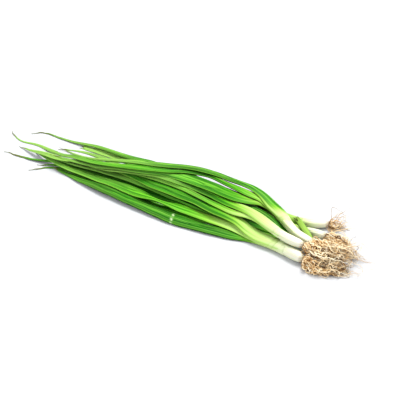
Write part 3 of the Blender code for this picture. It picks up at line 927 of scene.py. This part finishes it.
def root_path(run, start, way, length, radius, loose, past, curl, rng):
    """The way of one root: out of the plate, winding in the tuft, drooping, never under the table.

    Also how deep in the tuft it is at each point, from 0 outside to 1 in the middle.
    """
    ahead, across, up = frames(run.path)
    point, way = start.copy(), unit(way)
    wiry = loose >= WIRY
    # How hard it is turned off the foot and off the tuft's end, how fast it droops, how round its bends are.
    off_foot, off_end, droop, rounding = (0.10, 0.45, 0.008, 2.2) if wiry else (0.35, 1.0, 0.03, 1.0)
    phases = rng.uniform(0, TURN, 6)
    spans = rng.uniform(6.0, 19.0, 6)
    strength = rng.uniform(*curl)
    onwards = rng.uniform(0.35, 0.95) * run.along[-1] * (not wiry)
    full_wide, full_thick = run.wide.max() * 1.02, run.thick.max()
    low = radius + TABLE_FEEL
    points, depths = [point], [1.0]
    for i in range(int(length / ROOT_STEP)):
        gone = i * ROOT_STEP
        near = int(np.argmin(np.linalg.norm(run.path - point, axis=1)))
        away = point - run.path[near]
        room = loose * (TUFT_NECK + (1 - TUFT_NECK) * min(1.0, near / (0.3 * len(run.path))))
        a = away @ across[near] / (full_wide * room)
        b = away @ up[near] / (full_thick * room)
        depths.append(1.0 - min(1.0, math.hypot(a, max(b, 0.0) + 0.25)))
        if b < 0:
            b = b * 0.35
        out = math.hypot(a, b)
        way = way + drift(gone, spans, phases) * strength
        if out > TUFT_EDGE:
            pull = -(across[near] * a + up[near] * b) / out
            way = way + pull * min(0.6, 0.4 * (out - TUFT_EDGE) + 0.03)
        over = (point - run.path[-1]) @ ahead[-1] - past
        if gone < onwards:
            way = way + ahead[near] * 0.10
        if (point - run.path[0]) @ ahead[0] < 1.0:
            way = way + ahead[0] * off_foot
        if over > -2.0:
            way = way - ahead[-1] * (0.25 + 0.05 * over) * off_end
        way[2] += 0.2 * (low - point[2]) if point[2] < low else -droop
        way = unit(way)
        point = point + way * ROOT_STEP
        point[2] = max(point[2], radius + 0.05)
        points.append(point)
    return smooth(np.array(points), rounding), smooth(np.array(depths), 2.0)


def root_tube(made, path, deep, radius, age, rng):
    """One root: a thin bent tube that tapers to its end."""
    along = lengths(path)
    left = along[-1] - along
    taper = 0.35 + 0.65 * rise(left, 0.0, along[-1] * 0.7)
    size = radius * taper * (1 + wander(along, 0.14, 5.0, rng)) * rise(left, -0.6, 1.4)
    ahead = unit(np.gradient(path, axis=0))
    first = np.zeros_like(ahead)
    side = np.cross(ahead[0], [0.3, 0.5, 0.8])
    for i, way in enumerate(ahead):
        side = unit(side - way * (side @ way))
        first[i] = side
    second = np.cross(ahead, first)
    turn = around(ROOT_SIDES)
    arms = first[:, None, :] * np.cos(turn)[:, None] + second[:, None, :] * np.sin(turn)[:, None]
    rings = path[:, None, :] + arms * size[:, None, None]
    rings[..., 2] = np.maximum(rings[..., 2], ROOT_GAP)
    grain = grain_places(turn, along, rng)
    made.tube(rings, grain=grain, age=age + BROWNING * rise(left, 6.0, 0.0), deep=deep)


def roots(node, tuft, plate, material, rng):
    """A tuft of wiry roots that grow out of the plate at the foot of a shaft."""
    run = trace(node, True, step=1.5, soften=3.0)
    foot, out, radius = plate
    level = unit(np.cross(UP, out))
    up = np.cross(out, level)
    made = Shape()
    for _ in range(tuft.strands):
        turn = rng.uniform(0, TURN)
        share = math.sqrt(rng.uniform(0.02, 1.0))
        side = level * math.cos(turn) + up * math.sin(turn)
        start = foot - out * 1.5 * (1 - share) + side * share * radius * PLATE_SHARE
        start[2] = max(start[2], 0.8)
        way = out + side * share * rng.uniform(0.4, 2.6) * tuft.spread
        thick = rng.uniform(0.32, 0.56)
        length = tuft.length * rng.uniform(0.55, 1.0)
        young, old, dead = rng.uniform(0.0, 0.45), rng.uniform(0.5, 0.9), 1.1
        age = rng.choice([young, old, dead], p=[0.70, 0.22, 0.08])
        loose = rng.choice([0.95, 1.15]) * tuft.loose
        past = rng.uniform(-9.0, 3.0)
        path, deep = root_path(run, start, way, length, thick, loose, past, (0.14, 0.40), rng)
        root_tube(made, path, deep, thick, age, rng)
    for _ in range(tuft.wires):
        turn = rng.uniform(0, TURN)
        side = level * math.cos(turn) + up * math.sin(turn)
        start = foot + side * radius * 0.5
        start[2] = max(start[2], 0.6)
        way = out + side * rng.uniform(0.4, tuft.wild * 0.7) + up * tuft.lift
        length = tuft.length * rng.uniform(0.7, 1.0) + tuft.past
        loose = rng.uniform(WIRY, tuft.wild)
        past = tuft.past * rng.uniform(0.3, 1.0)
        path, deep = root_path(run, start, way, length, WIRE_RADIUS, loose, past, (0.12, 0.28), rng)
        root_tube(made, path, deep * 0.5, rng.uniform(0.22, 0.34), rng.uniform(0.3, 0.95), rng)
    return made.build(node, material, [node])


def foot_of(run):
    """The middle of a shaft's foot, the way out of it, and its radius there."""
    return run.path[0], unit(run.path[0] - run.path[6]), (run.wide[1] + run.thick[1]) / 2


# ---------------- how close the parts lie, for painted shade

CLOSE_RAYS = 14
CLOSE_REACH = 24.0  # a part nearer than this takes light away
CLOSE_EVERY = 2  # rings and ring points between those that are tried
CLOSE_START = 0.35  # how far off the surface a ray starts
CLOSE_LEAN = 1.02  # a little over 1, so that no ray goes into the surface


def outwards(rings):
    """Unit vectors out of a tube at its points."""
    round_it = np.roll(rings, -1, axis=1) - np.roll(rings, 1, axis=1)
    out = np.cross(round_it, np.gradient(rings, axis=0))
    out /= np.maximum(np.linalg.norm(out, axis=2, keepdims=True), 1e-9)
    inwards = (out * (rings - rings.mean(axis=1, keepdims=True))).sum() < 0
    return -out if inwards else out


def closeness(solids, rng):
    """For each tube, the share of rays outwards from its points that soon meet another part."""
    points, faces, count = [], [], 0
    for rings in solids:
        points.append(rings.reshape(-1, 3))
        faces.append(quads(*rings.shape[:2]) + count)
        count += len(points[-1])
    tree = BVHTree.FromPolygons(np.concatenate(points).tolist(), np.concatenate(faces).tolist())
    found = []
    for rings in solids:
        some = rings[::CLOSE_EVERY, ::CLOSE_EVERY]
        out = outwards(rings)[::CLOSE_EVERY, ::CLOSE_EVERY]
        starts = (some + out * CLOSE_START).reshape(-1, 3).tolist()
        met = np.zeros(some.shape[:2])
        for _ in range(CLOSE_RAYS):
            ways = unit(out * CLOSE_LEAN + unit(rng.normal(size=some.shape)))
            hits = [tree.ray_cast(start, way, CLOSE_REACH)[0] is not None
                    for start, way in zip(starts, ways.reshape(-1, 3).tolist())]
            met += np.array(hits, float).reshape(met.shape)
        met = smooth(met / CLOSE_RAYS, 1.5)
        met = (np.roll(met, 1, axis=1) + 2 * met + np.roll(met, -1, axis=1)) / 4
        met = found_at(np.arange(len(rings)), np.arange(len(met)) * CLOSE_EVERY, met)
        full = np.repeat(met, CLOSE_EVERY, axis=1)
        full = (full + np.roll(full, 1, axis=1)) / 2
        found.append(np.clip(full, 0.0, 1.0))
    return found


def set_closeness(pieces, rng):
    """Gives each piece its closeness as a value at its points, which the materials turn into painted shade.
    """
    closes = closeness([rings for _, rings, _ in pieces], rng)
    for (piece, _, gloom), close in zip(pieces, closes):
        close = close * gloom[:, None]
        flat = np.concatenate([close.ravel(), [close[0].mean(), close[-1].mean()]])
        piece.data.attributes.new("close", "FLOAT", "POINT").data.foreach_set("value", flat)


# ---------------- stage, light and camera

FLOOR_SIZE = 4.0  # half the side of the floor, in metres
FLOOR_GREYS = ((0.51, 0.515, 0.53), (0.53, 0.535, 0.55))
SKY = (0.95, 0.98, 1.0)
SKY_STRENGTH = 0.78


class Lamp(NamedTuple):
    """A round soft light turned towards the middle of the table, in metres and watts."""

    place: tuple
    size: float
    watts: float
    colour: tuple = (1.0, 1.0, 1.0)


KEY = Lamp((0.20, 0.72, 1.66), 0.9, 33.5, (1.0, 0.99, 0.97))
FILL = Lamp((-0.7, -1.2, 1.1), 1.4, 10.0)


def floor():
    """A plain pale floor."""
    corners = [(x * FLOOR_SIZE, y * FLOOR_SIZE, 0) for x, y in ((-1, -1), (1, -1), (1, 1), (-1, 1))]
    mesh = bpy.data.meshes.new("floor")
    mesh.from_pydata(corners, [], [(0, 1, 2, 3)])
    s = Shader("white_floor")
    faint = s.noise(s.add("ShaderNodeTexCoord").outputs["Object"], 3.0, 2.0)
    inputs = {"Base Color": s.mix(faint, *FLOOR_GREYS), "Roughness": 0.9, "Specular IOR Level": 0.1}
    surface = s.add("ShaderNodeBsdfPrincipled", inputs).outputs[0]
    s.add("ShaderNodeOutputMaterial", {"Surface": surface})
    mesh.materials.append(s.material)
    linked("floor", mesh)


def aimed(name, data, place, way):
    """A new lamp or camera that looks along a way from its place."""
    holder = linked(name, data)
    holder.location = place
    holder.rotation_mode = "QUATERNION"
    holder.rotation_quaternion = way.to_track_quat("-Z", "Y")
    return holder


def light(name, lamp):
    """Adds a lamp to the scene."""
    data = bpy.data.lights.new(name, "AREA")
    data.shape = "DISK"
    data.size = lamp.size
    data.energy = lamp.watts
    data.color = lamp.colour
    aimed(name, data, lamp.place, -Vector(lamp.place))


def studio():
    """Plain soft light: a pale sky, a key light beyond the bunch and a weak one on this side."""
    world = bpy.data.worlds.new("studio")
    world.use_nodes = True
    background = world.node_tree.nodes["Background"]
    background.inputs["Color"].default_value = (*SKY, 1.0)
    background.inputs["Strength"].default_value = SKY_STRENGTH
    bpy.context.scene.world = world
    world.cycles_visibility.glossy = False
    light("key", KEY)
    light("fill", FILL)
    bpy.context.scene.view_settings.view_transform = "Standard"
    bpy.context.scene.view_settings.look = "Medium High Contrast"


AZIMUTH = math.radians(27.752)
ELEVATION = math.radians(36.0)
LENS = 85.0
SENSOR = 36.0
DISTANCE = 1.0861  # in metres
AIM = (0.1552, 0.2086)  # where the camera aims on the table, as shares of the half length and half width


def camera():
    """The camera at the viewing angle of the reference."""
    high = CAD_BOX[1]
    aim = Vector((high.x * AIM[0], high.y * AIM[1], 0.0))
    level = math.cos(ELEVATION)
    back = Vector((math.sin(AZIMUTH) * level, -math.cos(AZIMUTH) * level, math.sin(ELEVATION)))
    data = bpy.data.cameras.new("camera")
    data.lens = LENS
    data.sensor_width = SENSOR
    data.clip_start, data.clip_end = 0.05, 20.0
    bpy.context.scene.camera = aimed("camera", data, aim + back * DISTANCE, -back)


# ---------------- the bunch

PLANTS = ("near", "centre", "top", "far", "middle", "short")
LEAF_SEED, SHAFT_SEED, ROOT_SEED, RAY_SEED = 100, 200, 300, 400


def main():
    """Makes the shafts with their roots, then the leaves, and sets the stage."""
    leaves, shafts, wires = leaf_material(), shaft_material(), root_material()
    stalks = {}
    pieces = []
    for number, plant in enumerate(PLANTS):
        run = trace(f"{plant}_shaft", False, step=1.0, soften=3.0)
        stalks[plant] = run
        pieces.append(shaft(f"{plant}_shaft", run, shafts, np.random.default_rng(SHAFT_SEED + number)))
        node = f"{plant}_roots"
        roots(node, TUFTS[node], foot_of(run), wires, np.random.default_rng(ROOT_SEED + number))
    layers = dict.fromkeys(stalks, 0)
    for number, (node, look) in enumerate(LOOKS.items()):
        plant = node.split("_")[0]
        stalk = None if node == STUB else stalks[plant]
        rng = np.random.default_rng(LEAF_SEED + number)
        pieces.append(leaf(node, look, leaves, stalk, layers[plant], rng))
        layers[plant] += 1
    set_closeness(pieces, np.random.default_rng(RAY_SEED))
    floor()
    studio()
    camera()


main()
